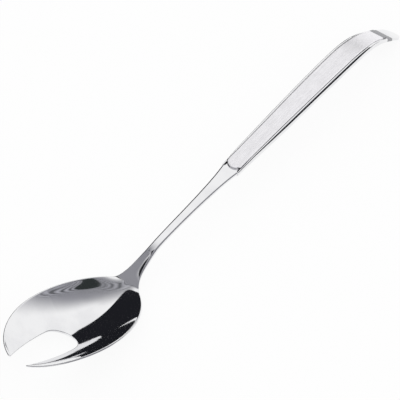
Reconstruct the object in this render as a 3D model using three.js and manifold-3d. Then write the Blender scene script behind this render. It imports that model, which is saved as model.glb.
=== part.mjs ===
// Slotted salad spoon: a pressed steel blade (bowl, neck and tang) set in a hollow steel handle.
// Millimetres. X runs from the tines to the handle's tip, Y lies across, Z stands up from the table.

import * as THREE from "three";
import { mergeVertices } from "three/addons/utils/BufferGeometryUtils.js";
import Module from "manifold-3d";

const wasm = await Module();
wasm.setup();

// Lengths along the spoon, each from the place named before it
const bowlFront = 42.2;         // front of the uncut oval to the bowl's widest place
const bowlBack = 43.2;          // widest place to where the back of the oval would close
const bellyRun = 21;            // widest place to the lowest point of the belly
const heelRun = 42;             // widest place to the heel, where the rim turns up into the neck
const neckRise = 22;            // heel to the waist of the neck
const neckRun = 62;             // waist to the shoulder, where the neck meets the lower shell
const coverSetback = 0.8;       // shoulder to the front of the cover
const crestRun = 96;            // shoulder to the crest of the handle
const bendRun = 36;             // crest to the end of the cover
const tipRun = 15.8;            // end of the cover to the tip of the handle
const plugLength = 8;           // plug of the blade, in the front of the lower shell
const tangLength = 36;          // tang behind the plug
const cementBeyond = 8;         // cement behind the end of the tang
const spigotLength = 10;        // spigot of the end cap inside the handle

// Widths
const bowlWidth = 49.2;
const neckWidth = 4.9;          // at the waist
const shoulderWidth = 9.8;
const crestWidth = 13.2;
const endWidth = 10.6;          // at the end of the cover and on the end cap
const tangWidth = 3.6;

// Heights above the table of the rim, and of the line that the neck and the handle's ledge follow
const tineHeight = 24.4;
const tineDip = 2.1;            // middle of the uncut tip below its rim
const heelHeight = 4.9;
const waistHeight = 13.1;
const shoulderHeight = 17.25;
const crestHeight = 21.35;

// Walls and depths
const tineThickness = 0.8;      // at the front of the tines
const bowlThickness = 1.3;
const neckEdge = 2.2;           // side of the neck at its waist
const neckMiddle = 2.7;         // neck's thickness in the middle of its waist
const shoulderEdge = 1.6;       // side of the handle at the shoulder
const shoulderDepth = 4.2;      // round belly of the handle at the shoulder
const crestEdge = 1.4;
const crestDepth = 4.9;
const endEdge = 1.5;            // side of the handle at the end of the cover
const endDepth = 2.9;
const tipThickness = 1.4;
const shellWall = 0.6;
const sideSwell = 1;            // lower shell's widest line outside its ledge, from the middle to the bend
const coverSheet = 0.6;
const coverRise = 1;            // cover's top above the ledge
const coverSkirt = 0.9;         // cover's skirt below the ledge
const coverRound = 0.35;        // rounded edge of the cover
const coverBow = 2.5;           // front arc of the cover, from its corners to its nose
const tipBow = 4.6;             // end arc of the handle
const tangDrop = 0.8;           // tang below the ledge
const tangThickness = 1.5;
const cementDrop = 0.1;         // top of the cement and of the spigot below the ledge
const clearance = 0.3;          // between pieces that seat on each other

// Notch between the tines
const notchDepth = 40.4;        // from the front of the uncut oval
const notchWidth = 17;          // at the round root
const notchMouth = 9.2;         // between the tines' tips
const notchSwell = 17;          // length over which the sides stay nearly parallel to each other
const tineRound = 0.8;          // inner corner of each tine's tip
const tineSetback = 1.6;        // front of the uncut oval to where that corner begins

// Side view: how steeply each line falls or climbs at a place, and how far it holds that way
const rimReach = 28;            // rim, level at the tines
const heelFall = 0.035;         // rim, in front of the heel
const heelReach = 21;
const heelClimb = 0.595;        // rim, behind the heel
const heelClimbReach = 6;
const scoopFall = 0.445;        // middle of the bowl, at the front
const scoopReach = 24;
const bellyFrontReach = 20;     // middle of the bowl, level at the belly
const bellyBackReach = 17;
const waistClimb = 0.205;
const waistReach = 10;
const shoulderClimb = 0.045;
const shoulderFrontReach = 20;
const shoulderBackReach = 30;
const crestFrontReach = 30;
const crestBackReach = 24;
const tipFall = 0.7;
const tipReach = 15;

// Plan: the same for the half width
const filletReach = 7;          // along the back of the oval, into the neck
const neckReach = 14;           // sides of the neck, parallel at the waist
const flareReach = 26;
const shoulderFlare = 0.17;     // sides of the neck, where they reach the shoulder
const shoulderFlareReach = 12;
const handleFlare = 0.02;       // sides of the handle, behind the shoulder
const handleFlareReach = 35;
const crestPlanReach = 22;
const endPlanReach = 11;

// Shape of the section: how sharply the bowl curves up to its rim
const dishPower = 2;
const dishBeyond = 0.8;         // dish in front of the uncut oval, so that the tines end without a lip
const ovalLeaves = 0.4;         // angle on the back of the oval where the fillet to the neck begins

// Facets
const acrossSteps = 12;
const bellySteps = 10;
const frontSteps = 13;
const backSteps = 11;
const filletSteps = 9;
const neckSteps = 11;
const plugSteps = 3;
const straightSteps = 12;
const bendSteps = 12;
const tipSteps = 8;
const hiddenSteps = 5;
const arcSteps = 12;
const frontShare = 0.06;        // share of the quarter oval where the blade's first section lies
const overrun = 3;              // of a cut past the piece that it cuts
const nearby = 0.05;            // step over which the lie of the bowl's top is taken
const finest = 1e-9;            // share of a curve within which a place on it is found
const sameSpot = 1e-5;          // corners nearer to each other than this are one

// Stations along X
const widestAt = bowlFront;
const bellyAt = widestAt + bellyRun;
const heelAt = widestAt + heelRun;
const waistAt = heelAt + neckRise;
const shoulderAt = waistAt + neckRun;
const coverFrontAt = shoulderAt + coverSetback;
const plugEndAt = shoulderAt + plugLength;
const crestAt = shoulderAt + crestRun;
const swollenAt = (shoulderAt + crestAt) / 2;
const coverEndAt = crestAt + bendRun;
const tipAt = coverEndAt + tipRun;

// Top of the tip, whose lower edge lies on the table
const tipHeight = tipThickness / Math.hypot(1, tipFall);

const flat = (x, y) => new THREE.Vector2(x, y);

// Curve between two points, with the slope and the reach that it has at each
function sweep(from, fromSlope, fromReach, to, toSlope, toReach) {
  return new THREE.CubicBezierCurve(
    from,
    flat(from.x + fromReach, from.y + fromSlope * fromReach),
    flat(to.x - toReach, to.y - toSlope * toReach),
    to,
  );
}

// Half width of the spoon seen from above: an oval, a fillet into the neck, the neck's flare and the handle
const ovalBack = flat(
  widestAt + bowlBack * Math.cos(ovalLeaves),
  (bowlWidth / 2) * Math.sin(ovalLeaves),
);
const ovalTangent = flat(
  bowlBack * Math.sin(ovalLeaves),
  (-bowlWidth / 2) * Math.cos(ovalLeaves),
);
const filletRun = (filletReach * ovalTangent.x) / ovalTangent.length();
const waistSide = flat(waistAt, neckWidth / 2);
const shoulderSide = flat(shoulderAt, shoulderWidth / 2);
const crestSide = flat(crestAt, crestWidth / 2);
const endSide = flat(coverEndAt, endWidth / 2);
const frontOval = new THREE.EllipseCurve(widestAt, 0, bowlFront, bowlWidth / 2, Math.PI, Math.PI / 2, true);
const backOval = new THREE.EllipseCurve(widestAt, 0, bowlBack, bowlWidth / 2, Math.PI / 2, ovalLeaves, true);
const fillet = sweep(ovalBack, ovalTangent.y / ovalTangent.x, filletRun, waistSide, 0, neckReach);
const halfWidthCurves = [
  frontOval,
  backOval,
  fillet,
  sweep(waistSide, 0, flareReach, shoulderSide, shoulderFlare, shoulderFlareReach),
  sweep(shoulderSide, handleFlare, handleFlareReach, crestSide, 0, crestPlanReach),
  sweep(crestSide, 0, crestPlanReach, endSide, 0, endPlanReach),
  new THREE.LineCurve(endSide, flat(tipAt, endWidth / 2)),
];

// Half width of the dished oval, which runs on in front of the tines
const dishFront = new THREE.EllipseCurve(
  widestAt, 0, bowlFront + dishBeyond, bowlWidth / 2, Math.PI, Math.PI / 2, true,
);
const dishCurves = [dishFront, ...halfWidthCurves.slice(1)];

// Side view: the neck's top and the handle's ledge, from the waist to the tip
const waistTop = flat(waistAt, waistHeight);
const shoulderTop = flat(shoulderAt, shoulderHeight);
const crestTop = flat(crestAt, crestHeight);
const handleLine = [
  sweep(waistTop, waistClimb, waistReach, shoulderTop, shoulderClimb, shoulderFrontReach),
  sweep(shoulderTop, shoulderClimb, shoulderBackReach, crestTop, 0, crestFrontReach),
  sweep(crestTop, 0, crestBackReach, flat(tipAt, tipHeight), -tipFall, tipReach),
];

// Side view of the rim: down from the tines to the heel, then up into the neck
const heelTop = flat(heelAt, heelHeight);
const rimLine = [
  sweep(flat(0, tineHeight), 0, rimReach, heelTop, -heelFall, heelReach),
  sweep(heelTop, heelClimb, heelClimbReach, waistTop, waistClimb, waistReach),
  ...handleLine,
];

// Side view of the bowl's middle: down to the belly, whose underside lies on the table, and up the neck
const bellyTop = flat(bellyAt, bowlThickness);
const middleLine = [
  sweep(flat(0, tineHeight - tineDip), -scoopFall, scoopReach, bellyTop, 0, bellyFrontReach),
  sweep(bellyTop, 0, bellyBackReach, waistTop, waistClimb, waistReach),
  ...handleLine,
];

// The curve of a chain of plane curves that passes over the place x, and how far along it that is
function spot(curves, x) {
  const curve = curves.find((c) => x <= c.getPoint(1).x) ?? curves.at(-1);
  let low = 0;
  let high = 1;
  while (high - low > finest) {
    const middle = (low + high) / 2;
    if (curve.getPoint(middle).x < x) low = middle;
    else high = middle;
  }
  return [curve, (low + high) / 2];
}

function along(curves, x) {
  const [curve, share] = spot(curves, x);
  return curve.getPoint(share).y;
}

function slopeAlong(curves, x) {
  const [curve, share] = spot(curves, x);
  const tangent = curve.getTangent(share);
  return tangent.y / tangent.x;
}

const halfWidthAt = (x) => along(halfWidthCurves, x);

// A value that eases from one place to the next through a list of [x, value] pairs
function eased(pairs, x) {
  const next = pairs.findIndex(([place]) => x <= place);
  if (next <= 0) return (next === 0 ? pairs[0] : pairs.at(-1))[1];
  const [x0, v0] = pairs[next - 1];
  const [x1, v1] = pairs[next];
  return v0 + (v1 - v0) * THREE.MathUtils.smoothstep(x, x0, x1);
}

const edgeAt = (x) =>
  eased([[0, tineThickness], [widestAt, bowlThickness], [heelAt, bowlThickness], [waistAt, neckEdge],
    [shoulderAt, shoulderEdge], [crestAt, crestEdge], [coverEndAt, endEdge], [tipAt, tipThickness]], x);
const depthAt = (x) =>
  eased([[0, tineThickness], [widestAt, bowlThickness], [heelAt, bowlThickness], [waistAt, neckMiddle],
    [shoulderAt, shoulderDepth], [crestAt, crestDepth], [coverEndAt, endDepth], [tipAt, tipThickness]], x);

// Thickness of the blade and handle at the share u of the half width: straight sides, then a round belly
const thicknessAt = (x, u) => edgeAt(x) + (depthAt(x) - edgeAt(x)) * Math.sqrt(Math.max(0, 1 - u * u));

// Depth of the handle's hollow below the ledge, at the distance y from the middle
function hollowAt(x, y) {
  const u = Math.min(1, Math.abs(y) / (halfWidthAt(x) - shellWall));
  return edgeAt(x) + (depthAt(x) - shellWall - edgeAt(x)) * Math.sqrt(1 - u * u);
}

const swellAt = (x) =>
  eased([[shoulderAt, 0], [swollenAt, sideSwell], [crestAt, sideSwell], [coverEndAt, 0]], x);
const coverHalfWidthAt = (x) => halfWidthAt(x) - shellWall - clearance;
const insideHalfWidthAt = (x) => coverHalfWidthAt(x) - coverSheet - clearance;

// Point of the handle at the distance y across and the depth drop square to its ledge line
function handlePoint(x, y, drop) {
  const slope = slopeAlong(handleLine, x);
  const lean = 1 / Math.hypot(1, slope);
  return new THREE.Vector3(x + slope * lean * drop, y, along(handleLine, x) - lean * drop);
}

// Point on the top of the bowl and neck at the share u of the half width
function topPoint(x, u) {
  const y = u * halfWidthAt(x);
  const share = Math.abs(y) / along(dishCurves, x);
  const middle = along(middleLine, x);
  const rim = along(rimLine, x);
  return new THREE.Vector3(x, y, middle + (rim - middle) * share ** dishPower);
}

// Point on the underside, square to the top
function underPoint(x, u) {
  const alongX = topPoint(x + nearby, u).sub(topPoint(x - nearby, u));
  const across = topPoint(x, u + nearby).sub(topPoint(x, u - nearby));
  const up = alongX.cross(across).normalize();
  return topPoint(x, u).addScaledVector(up, -thicknessAt(x, u));
}

const shares = (steps) => Array.from({ length: steps + 1 }, (_, i) => Math.cos((Math.PI * i) / steps));
const between = (from, to, steps) =>
  Array.from({ length: steps + 1 }, (_, i) => from + ((to - from) * i) / steps);

// Closed skin over a row of rings with the same number of points, with flat ends
function loft(rings) {
  const count = rings[0].length;
  const position = rings.flat().flatMap((p) => [p.x, p.y, p.z]);
  const index = [];
  for (let r = 0; r + 1 < rings.length; r += 1) {
    for (let i = 0; i < count; i += 1) {
      const a = r * count + i;
      const b = r * count + ((i + 1) % count);
      index.push(a, b, a + count, b, b + count, a + count);
    }
  }
  const cap = (ring, start, turned) => {
    const outline = ring.map((p) => flat(p.y, p.z));
    for (const [a, b, c] of THREE.ShapeUtils.triangulateShape(outline, [])) {
      index.push(start + a, start + (turned ? c : b), start + (turned ? b : c));
    }
  };
  const anticlockwise = THREE.ShapeUtils.area(rings[0].map((p) => flat(p.y, p.z))) > 0;
  cap(rings[0], 0, anticlockwise);
  cap(rings.at(-1), (rings.length - 1) * count, !anticlockwise);
  if (!anticlockwise) {
    for (let i = 0; i < index.length; i += 3) [index[i + 1], index[i + 2]] = [index[i + 2], index[i + 1]];
  }
  const geometry = new THREE.BufferGeometry();
  geometry.setAttribute("position", new THREE.Float32BufferAttribute(position, 3));
  geometry.setIndex(index);
  return geometry;
}

function solid(geometry) {
  const plain = geometry.clone();
  plain.deleteAttribute("normal");
  plain.deleteAttribute("uv");
  const merged = mergeVertices(plain, sameSpot);
  return new wasm.Manifold(new wasm.Mesh({
    numProp: 3,
    vertProperties: new Float32Array(merged.attributes.position.array),
    triVerts: new Uint32Array(merged.index.array),
  }));
}

function skinOf(body) {
  const mesh = body.getMesh();
  const geometry = new THREE.BufferGeometry();
  geometry.setAttribute("position", new THREE.BufferAttribute(new Float32Array(mesh.vertProperties), 3));
  geometry.setIndex(new THREE.BufferAttribute(new Uint32Array(mesh.triVerts), 1));
  return geometry;
}

// Upright prism over a plan outline, tall enough to cut right through the spoon
function prism(shape) {
  const tall = 2 * (tineHeight + crestHeight);
  const geometry = new THREE.ExtrudeGeometry(shape, {
    depth: tall,
    bevelEnabled: false,
    curveSegments: arcSteps,
  });
  geometry.translate(0, 0, -tall / 2);
  return solid(geometry);
}

// Plan outline that ends at the place x in an arc of the given bow over the half width, facing -X or +X
function bowedPlan(x, halfWidth, bow, facing, length) {
  const radius = (halfWidth * halfWidth + bow * bow) / (2 * bow);
  const half = Math.asin(halfWidth / radius);
  const centre = x - facing * radius;
  const corner = x - facing * bow;
  const back = x - facing * length;
  const shape = new THREE.Shape();
  shape.moveTo(corner, -halfWidth);
  if (facing > 0) shape.absarc(centre, 0, radius, -half, half, false);
  else shape.absarc(centre, 0, radius, Math.PI + half, Math.PI - half, true);
  shape.lineTo(corner, crestWidth);
  shape.lineTo(back, crestWidth);
  shape.lineTo(back, -crestWidth);
  shape.lineTo(corner, -crestWidth);
  shape.closePath();
  return shape;
}

// Notch from the front of the oval: rounded tips, sides that draw apart, and a round root
function notchPlan() {
  const radius = notchWidth / 2;
  const mouth = notchMouth / 2;
  const rootAt = notchDepth - radius;
  const swellAt = rootAt - notchSwell;
  const lean = Math.atan2(radius - mouth, swellAt - tineSetback);
  const roundAt = tineSetback - tineRound * Math.sin(lean);
  const roundOut = mouth + tineRound * Math.cos(lean);
  const shape = new THREE.Shape();
  shape.moveTo(-overrun, roundOut);
  shape.lineTo(-overrun, -roundOut);
  shape.absarc(roundAt, -roundOut, tineRound, Math.PI, Math.PI / 2 - lean, true);
  shape.quadraticCurveTo(swellAt, -radius, rootAt, -radius);
  shape.absarc(rootAt, 0, radius, -Math.PI / 2, Math.PI / 2, false);
  shape.quadraticCurveTo(swellAt, radius, tineSetback, mouth);
  shape.absarc(roundAt, roundOut, tineRound, lean - Math.PI / 2, -Math.PI, true);
  shape.closePath();
  return shape;
}

// Bowl, neck, plug and tang in one piece
function blade() {
  const stations = [
    ...between(frontShare, 1, frontSteps).map((share) => frontOval.getPoint(share).x),
    ...backOval.getPoints(backSteps).slice(1).map((p) => p.x),
    ...fillet.getPoints(filletSteps).slice(1).map((p) => p.x),
    ...between(waistAt, shoulderAt, neckSteps).slice(1),
  ];
  const across = shares(acrossSteps);
  const rings = stations.map((x) => [
    ...across.map((u) => topPoint(x, u)),
    ...across.toReversed().map((u) => underPoint(x, u)),
  ]);
  const plug = between(shoulderAt, plugEndAt, plugSteps).map((x) => fillRing(x, coverHalfWidthAt(x), 0));
  const tang = between(plugEndAt, plugEndAt + tangLength, hiddenSteps).map((x) => [
    ...across.map((u) => handlePoint(x, (u * tangWidth) / 2, tangDrop)),
    ...across.toReversed().map((u) => handlePoint(x, (u * tangWidth) / 2, tangDrop + tangThickness)),
  ]);
  return skinOf(solid(loft([...rings, ...plug, ...tang])).subtract(prism(notchPlan())));
}

const handleStations = (from) => [
  ...between(from, crestAt, straightSteps),
  ...between(crestAt, coverEndAt, bendSteps).slice(1),
];

// Polished trough of thin sheet, open at the top and at both ends, whose sides swell out below the ledge
function lowerShell() {
  const across = shares(bellySteps);
  const rings = handleStations(shoulderAt + clearance).map((x) => {
    const outer = halfWidthAt(x);
    const inner = outer - shellWall;
    const swell = swellAt(x);
    return [
      handlePoint(x, outer, 0),
      ...across.map((u) => handlePoint(x, (outer + swell) * u, thicknessAt(x, u))),
      handlePoint(x, -outer, 0),
      handlePoint(x, -inner, 0),
      ...across.toReversed().map((u) => handlePoint(x, (inner + swell) * u, hollowAt(x, inner * u))),
      handlePoint(x, inner, 0),
    ];
  });
  return loft(rings);
}

// Satin cover: a shallow pan whose skirt seats inside the trough and whose nose lies on the plug
function cover() {
  const skirtFrom = plugEndAt + clearance;
  const stations = [coverFrontAt - overrun, skirtFrom, ...handleStations(skirtFrom + clearance)];
  const corner = coverRound * (1 - Math.SQRT1_2);
  const rings = stations.map((x) => {
    const outer = coverHalfWidthAt(x);
    const inner = outer - coverSheet;
    const skirt = x > skirtFrom ? coverSkirt : -clearance;
    const side = [
      [inner, coverSheet - coverRise],
      [inner, skirt],
      [outer, skirt],
      [outer, coverRound - coverRise],
      [outer - corner, corner - coverRise],
      [outer - coverRound, -coverRise],
    ];
    return [
      ...side.map(([y, drop]) => handlePoint(x, y, drop)),
      ...side.toReversed().map(([y, drop]) => handlePoint(x, -y, drop)),
    ];
  });
  const noseHalfWidth = coverHalfWidthAt(coverFrontAt + coverBow);
  const plan = bowedPlan(coverFrontAt, noseHalfWidth, coverBow, -1, tipAt - coverFrontAt);
  return skinOf(solid(loft(rings)).intersect(prism(plan)));
}

// Section of what fills the hollow of the handle at the place x, clear of the shell
function fillRing(x, half, drop) {
  const across = shares(acrossSteps);
  return [
    ...across.map((u) => handlePoint(x, half * u, drop)),
    ...across.toReversed().map((u) => handlePoint(x, half * u, hollowAt(x, half * u) - clearance)),
  ];
}

// The same where the cover's skirt hangs inside the shell
const insideRing = (x) => fillRing(x, insideHalfWidthAt(x), cementDrop);

// Solid end of the handle: a spigot in the trough and the polished tip, which bends down to the table
function endCap() {
  const across = shares(acrossSteps);
  const capFrom = coverEndAt + clearance;
  const spigot = between(coverEndAt - spigotLength, capFrom, hiddenSteps).map(insideRing);
  const tip = between(capFrom, tipAt, tipSteps).map((x) => [
    ...across.map((u) => handlePoint(x, halfWidthAt(x) * u, 0)),
    ...across.toReversed().map((u) => handlePoint(x, halfWidthAt(x) * u, thicknessAt(x, u))),
  ]);
  const plan = bowedPlan(tipAt, endWidth / 2, tipBow, 1, tipRun + spigotLength + overrun);
  return skinOf(solid(loft([...spigot, ...tip])).intersect(prism(plan)));
}

// Cement that holds the tang in the front of the hollow handle
function cement() {
  const tangEndAt = plugEndAt + tangLength;
  const rings = between(plugEndAt + clearance, tangEndAt + cementBeyond, hiddenSteps).map(insideRing);
  const slotHalf = tangWidth / 2 + clearance;
  const slotTop = tangDrop - clearance;
  const slotUnder = tangDrop + tangThickness + clearance;
  const slot = between(plugEndAt - overrun, tangEndAt + clearance, hiddenSteps).map((x) => [
    handlePoint(x, slotHalf, slotTop),
    handlePoint(x, -slotHalf, slotTop),
    handlePoint(x, -slotHalf, slotUnder),
    handlePoint(x, slotHalf, slotUnder),
  ]);
  return skinOf(solid(loft(rings)).subtract(solid(loft(slot))));
}

const polishedSteel = { color: 0xd9d9dd, roughness: 0.06, metalness: 1 };
const satinSteel = { color: 0xcdccd0, roughness: 0.38, metalness: 1 };
const greyCement = { color: 0x8d887e, roughness: 0.9, metalness: 0 };

function piece(name, geometry, finish) {
  geometry.computeVertexNormals();
  const mesh = new THREE.Mesh(geometry, new THREE.MeshStandardMaterial(finish));
  mesh.name = name;
  return mesh;
}

const spoon = new THREE.Group();
spoon.add(
  piece("spoon_blade", blade(), polishedSteel),
  piece("handle_lower_shell", lowerShell(), polishedSteel),
  piece("handle_cover", cover(), satinSteel),
  piece("handle_end_cap", endCap(), polishedSteel),
  piece("tang_cement", cement(), greyCement),
);
const extent = new THREE.Box3().setFromObject(spoon);
spoon.position.set(-(extent.min.x + extent.max.x) / 2, 0, -extent.min.z);

export default spoon;
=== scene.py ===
"""Slotted salad spoon: a mirror-polished blade in a hollow steel handle with a satin cover.

Metres. X runs from the tines to the handle's tip, Y lies across, Z stands up from the table.
"""

import logging
import math
from collections.abc import Callable, Iterable
from dataclasses import dataclass
from enum import Enum
from functools import cached_property

import bmesh
import bpy
from mathutils import Matrix, Vector


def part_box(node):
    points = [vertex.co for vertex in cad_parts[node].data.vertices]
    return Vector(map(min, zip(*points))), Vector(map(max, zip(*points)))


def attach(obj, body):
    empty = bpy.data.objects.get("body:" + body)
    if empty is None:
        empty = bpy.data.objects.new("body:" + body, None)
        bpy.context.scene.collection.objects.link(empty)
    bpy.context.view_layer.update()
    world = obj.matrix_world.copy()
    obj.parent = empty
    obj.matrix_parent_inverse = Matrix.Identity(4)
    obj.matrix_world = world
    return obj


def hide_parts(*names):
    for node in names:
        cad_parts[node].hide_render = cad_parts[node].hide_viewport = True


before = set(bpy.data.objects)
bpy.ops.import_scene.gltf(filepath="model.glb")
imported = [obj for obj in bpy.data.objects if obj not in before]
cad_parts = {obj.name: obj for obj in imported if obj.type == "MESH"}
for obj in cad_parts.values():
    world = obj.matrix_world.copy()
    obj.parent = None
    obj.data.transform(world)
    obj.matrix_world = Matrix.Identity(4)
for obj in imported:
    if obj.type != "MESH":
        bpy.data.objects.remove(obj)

MM = 0.001
ROOT = "root"
SAME_SPOT = 1e-7
SHARP_EDGE = math.radians(50)
BLACK = (0.013, 0.0135, 0.017)
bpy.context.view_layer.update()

Triple = tuple[float, float, float]

log = logging.getLogger("spoon")


class Slot(Enum):
    """The record's material slots."""

    POLISHED = "polished_steel"
    SATIN = "satin_steel"
    CEMENT = "cement"


# Lines that the spoon follows


@dataclass(frozen=True)
class Sweep:
    """Plane curve between two points, with the slope and the reach that it has at each."""

    start: tuple[float, float]
    start_slope: float
    start_reach: float
    end: tuple[float, float]
    end_slope: float
    end_reach: float

    @cached_property
    def stops(self) -> tuple[Vector, Vector, Vector, Vector]:
        """The four control points of the curve."""
        start, end = Vector(self.start), Vector(self.end)
        leave = Vector((1.0, self.start_slope)) * self.start_reach
        arrive = Vector((1.0, self.end_slope)) * self.end_reach
        return start, start + leave, end - arrive, end

    @property
    def end_x(self) -> float:
        """Where the curve ends along X."""
        return self.end[0]

    def at(self, share: float) -> Vector:
        """Returns the point at a share of the curve.

        Args:
            share: How far along the curve, from 0 to 1.

        Returns:
            The point as distance along and height.
        """
        a, b, c, d = self.stops
        rest = 1.0 - share
        return a * rest**3 + b * (3 * share * rest**2) + c * (3 * share**2 * rest) + d * share**3

    def share_at(self, x: float) -> float:
        """Finds how far along the curve a place is.

        Args:
            x: The place along X.

        Returns:
            The share of the curve, from 0 to 1.
        """
        low, high = 0.0, 1.0
        while high - low > SAME_SPOT:
            middle = (low + high) / 2
            low, high = (middle, high) if self.at(middle).x < x else (low, middle)
        return (low + high) / 2

    def height(self, x: float) -> float:
        """Returns the curve's height over the place x."""
        return self.at(self.share_at(x)).y

    def slope(self, x: float) -> float:
        """Returns how steeply the curve climbs at the place x."""
        share = self.share_at(x)
        a, b, c, d = self.stops
        rest = 1.0 - share
        tangent = (b - a) * rest**2 + (c - b) * (2 * share * rest) + (d - c) * share**2
        return tangent.y / tangent.x


@dataclass(frozen=True)
class OvalSide:
    """Quarter of the bowl's oval in plan, from its widest place to the front or to the back."""

    widest: float
    run: float
    half_width: float
    end_x: float

    def height(self, x: float) -> float:
        """Returns the half width at the place x."""
        return self.half_width * math.sqrt(max(0.0, 1.0 - ((x - self.widest) / self.run) ** 2))


@dataclass(frozen=True)
class Line:
    """Chain of curves along X."""

    curves: tuple[Sweep | OvalSide, ...]

    def curve(self, x: float) -> Sweep | OvalSide:
        """Returns the curve that passes over the place x."""
        return next((c for c in self.curves if x <= c.end_x), self.curves[-1])

    def height(self, x: float) -> float:
        """Returns the line's height over the place x."""
        return self.curve(x).height(x)

    def slope(self, x: float) -> float:
        """Returns how steeply the line climbs at the place x."""
        return self.curve(x).slope(x)


def eased(pairs: Iterable[tuple[float, float]], x: float) -> float:
    """Eases a value from one place to the next.

    Args:
        pairs: Places along X with the value at each, in order.
        x: The place to look at.

    Returns:
        The value there.
    """
    pairs = tuple(pairs)
    if x <= pairs[0][0]:
        return pairs[0][1]
    for (x0, v0), (x1, v1) in zip(pairs, pairs[1:]):
        if x <= x1:
            share = (x - x0) / (x1 - x0)
            return v0 + (v1 - v0) * share * share * (3 - 2 * share)
    return pairs[-1][1]


def even(start: float, end: float, steps: int) -> list[float]:
    """Returns places from start to end, in that many equal steps."""
    return [start + (end - start) * step / steps for step in range(steps + 1)]


@dataclass(frozen=True)
class SpoonLines:
    """Plan and side view of the whole spoon, measured from the front of the bowl's uncut oval."""

    bowl_front: float = 42.2 * MM
    bowl_back: float = 43.2 * MM
    belly_run: float = 21 * MM
    heel_run: float = 42 * MM
    neck_rise: float = 22 * MM
    neck_run: float = 62 * MM
    cover_setback: float = 0.8 * MM
    crest_run: float = 96 * MM
    bend_run: float = 36 * MM
    tip_run: float = 15.8 * MM
    plug_length: float = 8 * MM
    bowl_width: float = 49.2 * MM
    neck_width: float = 4.9 * MM
    shoulder_width: float = 9.8 * MM
    crest_width: float = 13.2 * MM
    end_width: float = 10.6 * MM
    tine_height: float = 24.39 * MM
    tine_dip: float = 2.1 * MM
    heel_height: float = 4.9 * MM
    waist_height: float = 13.1 * MM
    shoulder_height: float = 17.25 * MM
    crest_height: float = 21.35 * MM
    cover_rise: float = 1.0 * MM
    tine_thickness: float = 0.8 * MM
    bowl_thickness: float = 1.3 * MM
    neck_edge: float = 2.2 * MM
    neck_middle: float = 2.7 * MM
    shoulder_edge: float = 1.6 * MM
    shoulder_depth: float = 4.2 * MM
    crest_edge: float = 1.4 * MM
    crest_depth: float = 4.9 * MM
    end_edge: float = 1.5 * MM
    end_depth: float = 2.9 * MM
    tip_thickness: float = 1.4 * MM
    front_swell: float = 0.3 * MM
    side_swell: float = 1 * MM
    nose_ledge: float = 0.6 * MM
    side_ledge: float = 0.95 * MM
    ledge_run: float = 40 * MM
    rim_reach: float = 28 * MM
    heel_fall: float = 0.035
    heel_reach: float = 21 * MM
    heel_climb: float = 0.595
    heel_climb_reach: float = 6 * MM
    scoop_fall: float = 0.445
    scoop_reach: float = 24 * MM
    belly_front_reach: float = 20 * MM
    belly_back_reach: float = 17 * MM
    waist_climb: float = 0.205
    waist_reach: float = 10 * MM
    shoulder_climb: float = 0.045
    shoulder_front_reach: float = 20 * MM
    shoulder_back_reach: float = 30 * MM
    crest_front_reach: float = 30 * MM
    crest_back_reach: float = 24 * MM
    tip_fall: float = 0.7
    tip_reach: float = 15 * MM
    fillet_reach: float = 7 * MM
    neck_reach: float = 14 * MM
    flare_reach: float = 26 * MM
    shoulder_flare: float = 0.17
    shoulder_flare_reach: float = 12 * MM
    handle_flare: float = 0.02
    handle_flare_reach: float = 35 * MM
    crest_plan_reach: float = 22 * MM
    end_plan_reach: float = 11 * MM
    dish_power: float = 2.0
    dish_beyond: float = 0.8 * MM
    oval_leaves: float = 0.4
    nearby: float = 0.05 * MM

    @property
    def widest_at(self) -> float:
        """Where the bowl is widest."""
        return self.bowl_front

    @property
    def belly_at(self) -> float:
        """Where the belly is lowest."""
        return self.widest_at + self.belly_run

    @property
    def heel_at(self) -> float:
        """Where the rim turns up into the neck."""
        return self.widest_at + self.heel_run

    @property
    def waist_at(self) -> float:
        """Where the neck is slimmest."""
        return self.heel_at + self.neck_rise

    @property
    def shoulder_at(self) -> float:
        """Where the neck meets the lower shell."""
        return self.waist_at + self.neck_run

    @property
    def cover_front_at(self) -> float:
        """Where the cover's nose begins."""
        return self.shoulder_at + self.cover_setback

    @property
    def plug_end_at(self) -> float:
        """Where the blade's plug ends inside the lower shell."""
        return self.shoulder_at + self.plug_length

    @property
    def crest_at(self) -> float:
        """Where the handle is highest."""
        return self.shoulder_at + self.crest_run

    @property
    def cover_end_at(self) -> float:
        """Where the cover and the lower shell end."""
        return self.crest_at + self.bend_run

    @property
    def tip_at(self) -> float:
        """Where the handle ends."""
        return self.cover_end_at + self.tip_run

    @cached_property
    def fillet(self) -> Sweep:
        """Plan of the hollow between the back of the oval and the neck."""
        half = self.bowl_width / 2
        level, aside = math.cos(self.oval_leaves), math.sin(self.oval_leaves)
        back = (self.widest_at + self.bowl_back * level, half * aside)
        along = Vector((self.bowl_back * aside, -half * level))
        run = self.fillet_reach * along.x / along.length
        waist = (self.waist_at, self.neck_width / 2)
        return Sweep(back, along.y / along.x, run, waist, 0.0, self.neck_reach)

    @cached_property
    def half_width(self) -> Line:
        """Half width of the spoon, seen from above."""
        half = self.bowl_width / 2
        waist = self.fillet.end
        shoulder = (self.shoulder_at, self.shoulder_width / 2)
        crest = (self.crest_at, self.crest_width / 2)
        end = (self.cover_end_at, self.end_width / 2)
        tip = (self.tip_at, self.end_width / 2)
        straight = self.tip_run / 3
        return Line((
            OvalSide(self.widest_at, self.bowl_front, half, self.widest_at),
            OvalSide(self.widest_at, self.bowl_back, half, self.fillet.start[0]),
            self.fillet,
            Sweep(waist, 0.0, self.flare_reach, shoulder, self.shoulder_flare, self.shoulder_flare_reach),
            Sweep(shoulder, self.handle_flare, self.handle_flare_reach, crest, 0.0, self.crest_plan_reach),
            Sweep(crest, 0.0, self.crest_plan_reach, end, 0.0, self.end_plan_reach),
            Sweep(end, 0.0, straight, tip, 0.0, straight),
        ))

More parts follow.
